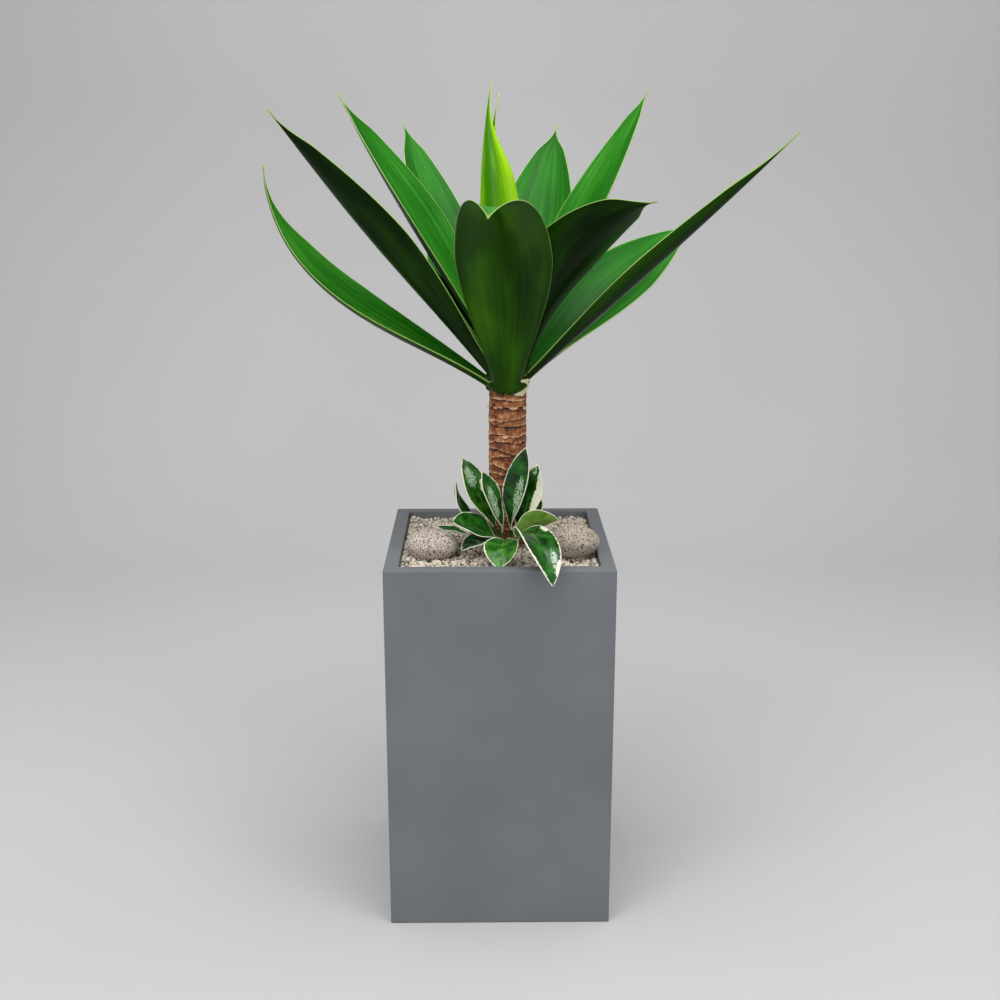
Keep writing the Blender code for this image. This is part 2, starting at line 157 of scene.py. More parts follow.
# ----------------------------------------------------------------- materials
def agave_skin(name, tone_and_light_name, colours, roughness, gloss, streak, streak_depth, margin_mm):
    """Living agave leaf: a waxed cuticle over parallel fibres that run its length.

    Gives a satin green with long soft streaks, paler at the foot, and a fine
    pale line where the margin is worn and translucent. A tone attribute per leaf
    lightens or darkens it, as painted light and shade for that leaf.
    """
    deep, mid, pale, margin, foot = [linear(colour) for colour in colours]
    made, tree, shader = finish_named(name, roughness, 1.42)
    shader.inputs["Specular IOR Level"].default_value = gloss
    place = add(tree, "ShaderNodeUVMap", uv_map="blade").outputs[0]
    seed = add(tree, "ShaderNodeAttribute", attribute_name="seed").outputs["Fac"]
    edge = add(tree, "ShaderNodeAttribute", attribute_name="edge_mm").outputs["Fac"]
    # The leaf's tone attribute is painted light and shade: brighter for a leaf lit from behind, darker for
    # one in shade.
    tone = add(tree, "ShaderNodeAttribute", attribute_name=tone_and_light_name).outputs["Fac"]
    shift = add(tree, "ShaderNodeCombineXYZ", {"X": seed, "Y": seed, "Z": seed}).outputs[0]
    # Fibre bundles about 3 mm apart across a 110 mm blade, and 200 mm long.
    stretched = add(tree, "ShaderNodeMapping", {"Vector": place, "Location": shift, "Scale": (2.2, 38, 1)})
    fibres = add(tree, "ShaderNodeTexNoise", {"Vector": stretched.outputs[0], "Scale": 1.0, "Detail": 4.0})
    fine = add(tree, "ShaderNodeMapping", {"Vector": place, "Location": shift, "Scale": (5, 120, 1)})
    hairs = add(tree, "ShaderNodeTexNoise", {"Vector": fine.outputs[0], "Scale": 1.0, "Detail": 3.0})
    # Broad clouds of tone, a hand's breadth long.
    wide = add(tree, "ShaderNodeMapping", {"Vector": place, "Location": shift, "Scale": (3, 2.4, 1)})
    clouds = add(tree, "ShaderNodeTexNoise", {"Vector": wide.outputs[0], "Scale": 1.0, "Detail": 2.0})
    cloud_part = add(tree, "ShaderNodeMath", {0: clouds.outputs[0], 1: 1 - streak},
                     operation="MULTIPLY").outputs[0]
    streaks = add(tree, "ShaderNodeMath", {0: fibres.outputs[0], 1: streak, 2: cloud_part},
                  operation="MULTIPLY_ADD").outputs[0]
    toned = add(tree, "ShaderNodeMath", {0: streaks, 1: tone}, operation="ADD").outputs[0]
    green = add(tree, "ShaderNodeValToRGB", {"Fac": toned},
                stops=((0.30, deep), (0.52, mid), (0.80, pale))).outputs[0]
    along = add(tree, "ShaderNodeSeparateXYZ", {0: place}).outputs["X"]
    at_foot = add(tree, "ShaderNodeMapRange", {"Value": along, "From Min": 0.02, "From Max": 0.20,
                                               "To Min": 0.75, "To Max": 0.0}).outputs[0]
    footed = add(tree, "ShaderNodeMix", {MIX_BY: at_foot, MIX_A: green, MIX_B: foot},
                 data_type="RGBA").outputs[MIX_OUT]
    at_tip = add(tree, "ShaderNodeMapRange", {"Value": along, "From Min": 0.965,
                                              "From Max": 0.995}).outputs[0]
    tipped = add(tree, "ShaderNodeMix", {MIX_BY: at_tip, MIX_A: footed, MIX_B: linear("#8d9a55")},
                 data_type="RGBA").outputs[MIX_OUT]
    at_edge = add(tree, "ShaderNodeMapRange", {"Value": edge, "From Min": margin_mm * 0.6,
                                               "From Max": margin_mm * 1.3, "To Min": 1.0,
                                               "To Max": 0.0}).outputs[0]
    edged = add(tree, "ShaderNodeMix", {MIX_BY: at_edge, MIX_A: tipped, MIX_B: margin},
                data_type="RGBA").outputs[MIX_OUT]
    tree.links.new(edged, shader.inputs["Base Color"])
    rough = add(tree, "ShaderNodeMapRange", {"Value": clouds.outputs[0], "From Min": 0.3, "From Max": 0.7,
                                             "To Min": roughness - 0.06, "To Max": roughness + 0.08})
    tree.links.new(rough.outputs[0], shader.inputs["Roughness"])
    grain = add(tree, "ShaderNodeMath", {0: hairs.outputs[0], 1: 0.35, 2: fibres.outputs[0]},
                operation="MULTIPLY_ADD").outputs[0]
    relief = add(tree, "ShaderNodeBump", {"Strength": 0.6, "Distance": streak_depth, "Height": grain})
    tree.links.new(relief.outputs[0], shader.inputs["Normal"])
    return made


AGAVE_UPPER = agave_skin("living_agave_leaf_upper", "upper_tone",
                         ("#0b4a08", "#22760f", "#4c9a2e", "#a2c46c", "#4f8c18"),
                         0.36, 0.16, 0.45, 0.0013, 0.6)
# The underside is the same skin in darker, more saturated greens. This is partly its own colour and partly
# painted shade on undersides that face away from the lamps.
AGAVE_UNDER_SHADED = agave_skin("living_agave_leaf_under_shaded", "under_tone",
                         ("#071f00", "#1c4200", "#3f7208", "#9cbe66", "#1a3600"),
                         0.36, 0.10, 0.22, 0.0003, 0.6)
AGAVE_RIM = agave_skin("living_agave_leaf_margin", "upper_tone",
                       ("#5f8c34", "#7fa650", "#9fc070", "#98ba64", "#6c9432"), 0.42, 0.20, 0.40, 0.0003, 0.8)
YOUNG_SKIN = agave_skin("living_young_agave_leaf", "under_tone",
                        ("#3f8600", "#8cc600", "#aadb08", "#b4d860", "#90c40c"),
                        0.30, 0.24, 0.30, 0.0004, 0.5)


def variegated_skin(name, dark, mid, light, cream, roughness):
    """Living variegated pothos leaf: thin, glossy and slightly puckered.

    Gives green clouds broken by cream sectors, silver mottling and a cream
    margin of uneven width.
    """
    made, tree, shader = finish_named(name, roughness, 1.45)
    place = add(tree, "ShaderNodeTexCoord").outputs["Object"]
    read = {}
    for each in ("edge_mm", "margin_mm", "cream", "silver", "lime", "midrib_mm"):
        read[each] = add(tree, "ShaderNodeAttribute", attribute_name=each).outputs["Fac"]
    clouds = add(tree, "ShaderNodeTexNoise", {"Vector": place, "Scale": per(14), "Detail": 4.0}).outputs[0]
    patches = add(tree, "ShaderNodeTexNoise", {"Vector": place, "Scale": per(6), "Detail": 5.0,
                                               "Roughness": 0.62}).outputs[0]
    flecks = add(tree, "ShaderNodeTexNoise", {"Vector": place, "Scale": per(2.6), "Detail": 3.0,
                                              "Roughness": 0.7}).outputs[0]
    limed = add(tree, "ShaderNodeMath", {0: clouds, 1: read["lime"]}, operation="ADD").outputs[0]
    green = add(tree, "ShaderNodeValToRGB", {"Fac": limed},
                stops=((0.34, linear(dark)), (0.58, linear(mid)), (0.95, linear(light)))).outputs[0]
    # Silver mottling is grains of about 2 mm, thickest where the leaf paint says.
    grain = add(tree, "ShaderNodeMath", {0: flecks, 1: read["silver"]}, operation="ADD").outputs[0]
    silver_by = add(tree, "ShaderNodeMapRange", {"Value": grain, "From Min": 0.93, "From Max": 1.02})
    silvered = add(tree, "ShaderNodeMix", {MIX_BY: silver_by.outputs[0], MIX_A: green,
                                           MIX_B: linear("#b9d3b4")}, data_type="RGBA").outputs[MIX_OUT]
    sector = add(tree, "ShaderNodeMath", {0: patches, 1: read["cream"]}, operation="ADD").outputs[0]
    cream_by = add(tree, "ShaderNodeMapRange", {"Value": sector, "From Min": 0.97,
                                                "From Max": 1.02}).outputs[0]
    wander = add(tree, "ShaderNodeMapRange", {"Value": patches, "From Min": 0.30, "From Max": 0.70,
                                              "To Min": 0.35, "To Max": 1.75}).outputs[0]
    reach = add(tree, "ShaderNodeMath", {0: read["margin_mm"], 1: wander}, operation="MULTIPLY").outputs[0]
    inside = add(tree, "ShaderNodeMath", {0: reach, 1: read["edge_mm"]}, operation="SUBTRACT").outputs[0]
    edge_by = add(tree, "ShaderNodeMapRange", {"Value": inside, "From Min": -0.15,
                                               "From Max": 0.15}).outputs[0]
    rib_by = add(tree, "ShaderNodeMapRange", {"Value": read["midrib_mm"], "From Min": 0.25, "From Max": 0.6,
                                              "To Min": 0.55, "To Max": 0.0}).outputs[0]
    ribbed = add(tree, "ShaderNodeMix", {MIX_BY: rib_by, MIX_A: silvered, MIX_B: linear("#a9c775")},
                 data_type="RGBA").outputs[MIX_OUT]
    any_cream = add(tree, "ShaderNodeMath", {0: cream_by, 1: edge_by}, operation="MAXIMUM").outputs[0]
    creamed = add(tree, "ShaderNodeMix", {MIX_BY: any_cream, MIX_A: ribbed, MIX_B: linear(cream)},
                  data_type="RGBA").outputs[MIX_OUT]
    tree.links.new(creamed, shader.inputs["Base Color"])
    rough = add(tree, "ShaderNodeMapRange", {"Value": clouds, "From Min": 0.3, "From Max": 0.7,
                                             "To Min": roughness - 0.05, "To Max": roughness + 0.10})
    tree.links.new(rough.outputs[0], shader.inputs["Roughness"])
    relief = add(tree, "ShaderNodeBump", {"Strength": 0.5, "Distance": 0.0012, "Height": clouds})
    tree.links.new(relief.outputs[0], shader.inputs["Normal"])
    return made


POTHOS_UPPER = variegated_skin("living_pothos_leaf_upper", "#093206", "#1c640e", "#62a82a", "#f1f0d8", 0.26)
POTHOS_UNDER = variegated_skin("living_pothos_leaf_under", "#3c6a18", "#5f8f2c", "#8fb553", "#eeeed4", 0.46)

# Pothos petiole: a smooth juicy stalk, green turning tan where its sheath dries.
PETIOLE, tree, shader = finish_named("living_pothos_stalk", 0.42)
where = add(tree, "ShaderNodeTexCoord").outputs["Object"]
drying = add(tree, "ShaderNodeTexNoise", {"Vector": where, "Scale": per(9), "Detail": 3.0}).outputs[0]
stalk = add(tree, "ShaderNodeValToRGB", {"Fac": drying},
            stops=((0.36, linear("#7c9440")), (0.52, linear("#b0b06a")), (0.66, linear("#a98458"))))
tree.links.new(stalk.outputs[0], shader.inputs["Base Color"])
strings = add(tree, "ShaderNodeTexNoise", {"Vector": where, "Scale": per(1.5), "Detail": 2.0})
relief = add(tree, "ShaderNodeBump", {"Strength": 0.4, "Distance": 0.0004, "Height": strings.outputs[0]})
tree.links.new(relief.outputs[0], shader.inputs["Normal"])

# Stem bark: weathered leaf scars, one above another. Gives tan lips over cracks
# darkened with painted shade, with short upright fibres between.
BARK, tree, shader = finish_named("weathered_agave_bark", 0.62)
where = add(tree, "ShaderNodeTexCoord").outputs["Object"]
scar = add(tree, "ShaderNodeAttribute", attribute_name="scar").outputs["Fac"]
upright = add(tree, "ShaderNodeMapping", {"Vector": where, "Scale": (per(1.6), per(1.6), per(7))})
fibres = add(tree, "ShaderNodeTexNoise", {"Vector": upright.outputs[0], "Scale": 1.0,
                                          "Detail": 4.0}).outputs[0]
flat = add(tree, "ShaderNodeMapping", {"Vector": where, "Scale": (per(16), per(16), per(7))})
blotches = add(tree, "ShaderNodeTexNoise", {"Vector": flat.outputs[0], "Scale": 1.0,
                                            "Detail": 4.0}).outputs[0]
# worn carries the scar value, which includes the painted shade in each crack.
worn = add(tree, "ShaderNodeMath", {0: fibres, 1: 0.34, 2: scar}, operation="MULTIPLY_ADD").outputs[0]
blotched_and_shaded = add(tree, "ShaderNodeMath", {0: blotches, 1: 0.62, 2: worn}, operation="MULTIPLY_ADD").outputs[0]
browns = add(tree, "ShaderNodeValToRGB", {"Fac": blotched_and_shaded},
             stops=((0.34, linear("#1e0c06")), (0.50, linear("#63301a")), (0.66, linear("#a4663a")),
                    (0.84, linear("#dcb384")))).outputs[0]
tree.links.new(browns, shader.inputs["Base Color"])
rough_bark = add(tree, "ShaderNodeMapRange", {"Value": blotches, "To Min": 0.45, "To Max": 0.85})
tree.links.new(rough_bark.outputs[0], shader.inputs["Roughness"])
relief = add(tree, "ShaderNodeBump", {"Strength": 0.8, "Distance": 0.0010, "Height": fibres})
tree.links.new(relief.outputs[0], shader.inputs["Normal"])

# Torn leaf sheath: pale moist tissue left where a leaf was pulled off, green at
# its edge, with one rust-red bruise.
SHEATH, tree, shader = finish_named("torn_agave_sheath", 0.48)
where = add(tree, "ShaderNodeTexCoord").outputs["Object"]
bruise = add(tree, "ShaderNodeAttribute", attribute_name="bruise").outputs["Fac"]
torn = add(tree, "ShaderNodeMapping", {"Vector": where, "Scale": (per(5), per(5), per(2.2))})
tissue = add(tree, "ShaderNodeTexNoise", {"Vector": torn.outputs[0], "Scale": 1.0, "Detail": 3.0}).outputs[0]
creams = add(tree, "ShaderNodeValToRGB", {"Fac": tissue},
             stops=((0.34, linear("#b9c07a")), (0.50, linear("#e6e0b6")),
                    (0.66, linear("#f1e6d8")))).outputs[0]
bruised = add(tree, "ShaderNodeMix", {MIX_BY: bruise, MIX_A: creams, MIX_B: linear("#b23a1c")},
              data_type="RGBA").outputs[MIX_OUT]
tree.links.new(bruised, shader.inputs["Base Color"])
relief = add(tree, "ShaderNodeBump", {"Strength": 0.5, "Distance": 0.0006, "Height": tissue})
tree.links.new(relief.outputs[0], shader.inputs["Normal"])

# Fibrestone: moulded fibre-reinforced cement with a matt coat. Gives an even
# mid grey, faintly clouded, with a dry sandy grain under 1 mm.
FIBRESTONE, tree, shader = finish_named("moulded_fibrestone_matt", 0.62, 1.5)
where = add(tree, "ShaderNodeTexCoord").outputs["Object"]
clouding = add(tree, "ShaderNodeTexNoise", {"Vector": where, "Scale": per(160), "Detail": 3.0}).outputs[0]
sand = add(tree, "ShaderNodeTexNoise", {"Vector": where, "Scale": per(0.9), "Detail": 2.0}).outputs[0]
greys = add(tree, "ShaderNodeValToRGB", {"Fac": clouding},
            stops=((0.32, linear("#6a6e73")), (0.68, linear("#73777b")))).outputs[0]
tree.links.new(greys, shader.inputs["Base Color"])
rough_coat = add(tree, "ShaderNodeMapRange", {"Value": clouding, "To Min": 0.54, "To Max": 0.70})
tree.links.new(rough_coat.outputs[0], shader.inputs["Roughness"])
relief = add(tree, "ShaderNodeBump", {"Strength": 0.22, "Distance": 0.0002, "Height": sand})
tree.links.new(relief.outputs[0], shader.inputs["Normal"])

# Potting soil: loose damp peat and bark crumbs of 2 to 6 mm.
SOIL, tree, shader = finish_named("loose_potting_soil", 0.92)
where = add(tree, "ShaderNodeTexCoord").outputs["Object"]
crumbs = add(tree, "ShaderNodeTexVoronoi", {"Vector": where, "Scale": per(5)}).outputs["Distance"]
damp = add(tree, "ShaderNodeTexNoise", {"Vector": where, "Scale": per(22), "Detail": 4.0}).outputs[0]
earths = add(tree, "ShaderNodeValToRGB", {"Fac": damp},
             stops=((0.34, linear("#1c120b")), (0.66, linear("#4a3524")))).outputs[0]
tree.links.new(earths, shader.inputs["Base Color"])
relief = add(tree, "ShaderNodeBump", {"Strength": 0.9, "Distance": 0.0020, "Height": crumbs})
tree.links.new(relief.outputs[0], shader.inputs["Normal"])

# Granite gravel: crushed and washed chips. Each chip has its own mineral
# colour, salted with grains of about 1 mm.
GRAVEL, tree, shader = finish_named("crushed_granite_gravel", 0.78, 1.54)
where = add(tree, "ShaderNodeTexCoord").outputs["Object"]
chip = add(tree, "ShaderNodeAttribute", attribute_name="chip").outputs["Fac"]
grains = add(tree, "ShaderNodeTexNoise", {"Vector": where, "Scale": per(1.6), "Detail": 3.0,
                                          "Roughness": 0.7}).outputs[0]
salted = add(tree, "ShaderNodeMath", {0: grains, 1: 0.5, 2: chip}, operation="MULTIPLY_ADD").outputs[0]
minerals = add(tree, "ShaderNodeValToRGB", {"Fac": salted},
               stops=((0.20, linear("#7b746a")), (0.34, linear("#bdb6a8")), (0.52, linear("#e2d9c8")),
                      (0.72, linear("#e2d2bf")), (0.92, linear("#f4eee6")))).outputs[0]
pepper = add(tree, "ShaderNodeTexVoronoi", {"Vector": where, "Scale": per(2.4)}).outputs["Distance"]
pepper_by = add(tree, "ShaderNodeMapRange", {"Value": pepper, "From Min": 0.16, "From Max": 0.24,
                                             "To Min": 0.6, "To Max": 0.0}).outputs[0]
peppered = add(tree, "ShaderNodeMix", {MIX_BY: pepper_by, MIX_A: minerals, MIX_B: linear("#2a2422")},
               data_type="RGBA").outputs[MIX_OUT]
tree.links.new(peppered, shader.inputs["Base Color"])
relief = add(tree, "ShaderNodeBump", {"Strength": 0.5, "Distance": 0.0005, "Height": grains})
tree.links.new(relief.outputs[0], shader.inputs["Normal"])


def river_stone(name, ground, light, dark, tint, roughness, dark_share):
    """River-worn granite: a rounded, dry, pitted stone.

    Gives an even ground salted with pale feldspar and peppered with dark mica,
    in grains of 1 to 3 mm, and rough pits.
    """
    made, tree, shader = finish_named(name, roughness, 1.54)
    where = add(tree, "ShaderNodeTexCoord").outputs["Object"]
    cloud = add(tree, "ShaderNodeTexNoise", {"Vector": where, "Scale": per(24), "Detail": 3.0}).outputs[0]
    salt = add(tree, "ShaderNodeTexNoise", {"Vector": where, "Scale": per(1.7), "Detail": 3.0,
                                            "Roughness": 0.65}).outputs[0]
    base = add(tree, "ShaderNodeMix", {MIX_BY: cloud, MIX_A: linear(ground), MIX_B: linear(tint)},
               data_type="RGBA").outputs[MIX_OUT]
    salt_by = add(tree, "ShaderNodeMapRange", {"Value": salt, "From Min": 0.50, "From Max": 0.60}).outputs[0]
    salted = add(tree, "ShaderNodeMix", {MIX_BY: salt_by, MIX_A: base, MIX_B: linear(light)},
                 data_type="RGBA").outputs[MIX_OUT]
    mica = add(tree, "ShaderNodeTexNoise", {"Vector": where, "Scale": per(2.3), "Detail": 2.0}).outputs[0]
    mica_by = add(tree, "ShaderNodeMapRange", {"Value": mica, "From Min": dark_share - 0.05,
                                               "From Max": dark_share, "To Min": 1.0,
                                               "To Max": 0.0}).outputs[0]
    flecked = add(tree, "ShaderNodeMix", {MIX_BY: mica_by, MIX_A: salted, MIX_B: linear(dark)},
                  data_type="RGBA").outputs[MIX_OUT]
    tree.links.new(flecked, shader.inputs["Base Color"])
    relief = add(tree, "ShaderNodeBump", {"Strength": 0.8, "Distance": 0.0009, "Height": mica})
    tree.links.new(relief.outputs[0], shader.inputs["Normal"])
    return made


PALE_STONE = river_stone("river_worn_pale_granite", "#c3b7ae", "#ebe2da", "#3a302c", "#b09f92", 0.80, 0.44)
BROWN_STONE = river_stone("river_worn_brown_granite", "#baab9a", "#ddd0c0", "#453c35", "#9b9082", 0.82, 0.44)

# ------------------------------------------------- planter and soil, as packed
for node, finish in (("planter", FIBRESTONE), ("potting_soil", SOIL)):
    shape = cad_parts[node]
    if not shape.material_slots:
        shape.data.materials.append(finish)
    for held in shape.material_slots:
        held.material = finish


# ---------------------------------------------------------------- leaf making
def midline(root, compass, swing, climb, length, rows):
    points = [Vector(root)]
    for row in range(rows):
        share = (row + 0.5) / rows
        up = math.radians(blend(climb, share))
        around = math.radians(compass + swing * share ** 1.5)
        step = Vector((math.cos(up) * math.cos(around), math.cos(up) * math.sin(around), math.sin(up)))
        points.append(points[-1] + step * (length / rows))
    return points


def leaf_frames(root, compass, swing, climb, roll, length, rows, packed_rows):
    """Centre, side and upper direction down a leaf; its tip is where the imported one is."""
    points = midline(root, compass, swing, climb, length, rows)
    drift = midline(root, compass, swing, climb, length, packed_rows)[-1] - points[-1]
    frames = []
    for row in range(rows + 1):
        share = row / rows
        up = math.radians(blend(climb, share))
        around = math.radians(compass + swing * share ** 1.5)
        along = Vector((math.cos(up) * math.cos(around), math.cos(up) * math.sin(around), math.sin(up)))
        across = Vector((-math.sin(around), math.cos(around), 0.0))
        face = along.cross(across)
        tilt = math.radians(blend(roll, share))
        side_way = across * math.cos(tilt) + face * math.sin(tilt)
        up_way = face * math.cos(tilt) - across * math.sin(tilt)
        frames.append((points[row] + drift * share, side_way, up_way))
    return frames


def blade(name, frames, widths, folds, thickness, columns, ripple, paint, materials, stands_for):
    """A blade from a grid bent onto its frames, with its wall below the upper face.

    ripple(share, s) lifts the face in metres. paint(share, s, edge_mm) returns
    the values of the blade's own attributes.
    """
    rows = len(frames) - 1
    builder = bmesh.new()
    bmesh.ops.create_grid(builder, x_segments=rows, y_segments=columns, size=1.0)
    builder.verts.layers.deform.verify()
    builder.loops.layers.uv.new("blade")
    for key in paint(0.5, 0.0, 1.0):
        builder.verts.layers.float.new(key)
    thickest = max(thickness(row / rows, 0.0) for row in range(rows + 1))
    builder.verts.index_update()
    places = []
    for vert in builder.verts:
        row = round((vert.co.x + 1) / 2 * rows)
        s = vert.co.y
        centre, side_way, up_way = frames[row]
        half_width, fold = widths[row], folds[row]
        lateral = half_width * math.sin(fold * s) / fold
        lift = half_width * (1 - math.cos(fold * s)) / fold + ripple(row / rows, s)
        vert.co = centre + side_way * lateral + up_way * lift
        vert[builder.verts.layers.deform.active][0] = thickness(row / rows, s) / thickest
        for key, value in paint(row / rows, s, half_width * (1 - abs(s)) * 1000).items():
            vert[builder.verts.layers.float[key]] = value
        places.append((row / rows, s))
    uv = builder.loops.layers.uv["blade"]
    for face in builder.faces:
        for loop in face.loops:
            share, s = places[loop.vert.index]
            loop[uv].uv = (share, (s + 1) / 2)
    shape = piece(name, mesh_of(name, builder), materials, stands_for)
    shape.vertex_groups.new(name="thickness")
    wall = shape.modifiers.new("wall", "SOLIDIFY")
    wall.thickness = thickest
    wall.offset = -1.0
    wall.vertex_group = "thickness"
    wall.material_offset = 1
    wall.material_offset_rim = 2
    return shape


def drawn_tip(share, tail):
    if tail == 0:
        return 1.0
    return 0.12 + 0.88 * ease(0, tail, 1 - share)


def agave_profile(share, base, peak, fullness, tail):
    if share < peak:
        return base + (1 - base) * math.sin(math.pi / 2 * share / peak) ** 1.2
    fall = (share - peak) / (1 - peak)
    return (1 - fall) ** 1.15 * (1 + fullness * fall) * drawn_tip(share, tail)


THICK_BASE, THICK_MID, THICK_TIP = 0.0075, 0.0050, 0.0016
PACKED_ROWS = 14
TIP_HALF_WIDTH = 0.0007


def agave_thickness(share, s):
    if share < 0.4:
        middle = THICK_BASE + (THICK_MID - THICK_BASE) * share / 0.4
    else:
        middle = THICK_MID + (THICK_TIP - THICK_MID) * (share - 0.4) / 0.6
    return max(0.0010, middle * (1 - 0.76 * s * s))


HEEL_LENGTH, HEEL_ROWS = 0.010, 8
HEEL_FLARE = 0.62            # how far a clasping base widens, as a share of its width


def with_heel(frames, widths, folds, compass):
    """The leaf with its clasping base added: it turns down along the stem and wraps it."""
    root, side_way, up_way = frames[0]
    along = side_way.cross(up_way)
    outward = Vector((math.cos(math.radians(compass)), math.sin(math.radians(compass)), 0))
    added, heel_widths, heel_folds = [], [], []
    place = root.copy()
    for row in range(HEEL_ROWS):
        turn = ease(0, 1, (row + 1) / HEEL_ROWS)
        heading = (along * (1 - turn) + Vector((0, 0, 1)) * turn).normalized()
        place = place - heading * (HEEL_LENGTH / HEEL_ROWS)
        reach = math.hypot(place.x - stem_crown_x, place.y)
        clamped = max(reach, 0.0222)
        place = Vector((stem_crown_x + outward.x * clamped, outward.y * clamped, place.z))
        facing = (heading.cross(side_way)).normalized()
        facing = facing if facing.dot(up_way) > 0 else -facing
        added.append((place.copy(), side_way, facing))
        down = (row + 1) / HEEL_ROWS
        rounded = math.sqrt(max(0.0, 1 - max(0.0, (down - 0.45) / 0.55) ** 2))
        heel_widths.append(max(0.0012, widths[0] * (1 + HEEL_FLARE * ease(0, 0.6, down)) * rounded))
        heel_folds.append(folds[0] + (1.05 - folds[0]) * ease(0, 0.6, down))
    return added[::-1] + frames, heel_widths[::-1] + widths, heel_folds[::-1] + folds


# Name, compass, reach from the stem axis, level, length, width, climb angles,
# half-angles of the channel, swing, roll angles, peak, base share, fullness and
# drawn-out share; then how deep the face is ridged in metres, its number of
# ridges, and the tone of its upper face and of its underside. The tones paint
# light and shade: a raised one paints the glow of a leaf lit from behind, and a
# lowered one the shade on a leaf in shadow.
AGAVE_LEAVES = (
    ("leaf_low_left", 175, 0.0250, 0.728, 0.430, 0.070, (32, 10, 90),
     (40, 45, 50), 0, (-5, -25, -20), 0.50, 0.24, 0.9, 0.30,
     0.0012, 7, 0.05, 0),
    ("leaf_low_right", -10, 0.0250, 0.737, 0.465, 0.070, (42, 41, 45),
     (40, 80, 60), 8, (0, -10, 0), 0.45, 0.24, 0.9, 0.25,
     0.00015, 5, 0, -0.1),
    ("leaf_back_right", 46, 0.0250, 0.728, 0.440, 0.110, (30, 30, 18),
     (40, 25, 30), 0, (0, 40, 0), 0.55, 0.24, 0.9, 0.12,
     0.00015, 5, 0, 0.24),
    ("leaf_back", 107, 0.0250, 0.729, 0.400, 0.110, (35, 30, 20),
     (40, 35, 30), 0, (0, 0, 0), 0.55, 0.24, 0.9, 0.16,
     0.0002, 6, 0, 0),
    ("leaf_front", 265, 0.0290, 0.730, 0.408, 0.132, (76, 60, -20),
     (48, 36, 36), 0, (0, 0, 0), 0.42, 0.30, 0.9, 0.0,
     0.0001, 5, 0.04, 0.03),
    ("leaf_left", 194, 0.0240, 0.745, 0.434, 0.096, (50, 48, 52),
     (40, 50, 55), 0, (0, 30, 10), 0.50, 0.24, 0.9, 0.16,
     0.00012, 5, 0, -0.12),
    ("leaf_front_right", 321, 0.0240, 0.752, 0.350, 0.118, (76, 46, 4),
     (42, 42, 30), -26, (0, -25, -35), 0.42, 0.24, 0.6, 0.22,
     0.00012, 5, 0, -0.16),
    ("leaf_inner_left", 165, 0.0265, 0.762, 0.220, 0.030, (57, 51, 46),
     (42, 42, 36), 0, (0, 0, 0), 0.50, 0.10, 0.9, 0.14,
     0.0002, 5, -0.1, 0),
    ("leaf_back_left", 157, 0.0220, 0.770, 0.400, 0.112, (58, 54, 56),
     (42, 40, 30), 0, (0, 0, 0), 0.50, 0.24, 0.9, 0.16,
     0.0006, 7, 0.0, 0),
    ("leaf_upper_right", 32, 0.0220, 0.772, 0.396, 0.095, (60, 55, 61),
     (42, 35, 30), 0, (0, 0, 0), 0.50, 0.24, 0.9, 0.12,
     0.0003, 6, 0.02, 0),
    ("leaf_upper_left", 128, 0.0240, 0.748, 0.408, 0.085, (54, 54, 50),
     (42, 35, 30), -12, (0, 0, 0), 0.50, 0.24, 0.9, 0.16,
     0.0004, 7, -0.04, 0),
    ("leaf_upper_back", 73, 0.0240, 0.754, 0.390, 0.115, (55, 54, 50),
     (42, 35, 30), 0, (0, 0, 0), 0.50, 0.24, 0.9, 0.14,
     0.0003, 6, -0.08, 0),
)
LEAF_ROWS, LEAF_COLUMNS = 84, 28

for number, leaf in enumerate(AGAVE_LEAVES):
    (name, compass, reach, level, length, width, climb, fold, swing, roll, peak, base, fullness, tail, ridge,
     ridges, upper_tone, under_tone) = leaf
    around = math.radians(compass)
    root = (stem_crown_x + reach * math.cos(around), reach * math.sin(around), level)
    frames = leaf_frames(root, compass, swing, climb, roll, length, LEAF_ROWS, PACKED_ROWS)
    shares = [row / LEAF_ROWS for row in range(LEAF_ROWS + 1)]
    widths = [max(TIP_HALF_WIDTH, width / 2 * agave_profile(share, base, peak, fullness, tail))
              for share in shares]
    folds = [math.radians(blend(fold, share)) for share in shares]

    frames, widths, folds = with_heel(frames, widths, folds, compass)

    def ridged(share, s, ridge=ridge, ridges=ridges, number=number):
        lie = math.sin(math.pi * min(1.0, share * 1.05)) ** 0.5 if share < 0.95 else 0.0
        wander = 0.25 * math.sin(5.1 * share + number)
        return ridge * lie * (1 - s * s) * math.cos(math.pi * ridges * (s + wander * 0.15) + number)

    def painted(share, s, edge_mm, number=number, tones=(upper_tone, under_tone)):
        return {"edge_mm": edge_mm, "seed": 3.7 * number + 1, "upper_tone": tones[0], "under_tone": tones[1]}

    blade(name.replace("leaf_", "agave_blade_"), frames, widths, folds, agave_thickness, LEAF_COLUMNS, ridged,
          painted, (AGAVE_UPPER, AGAVE_UNDER_SHADED, AGAVE_RIM), (name,))

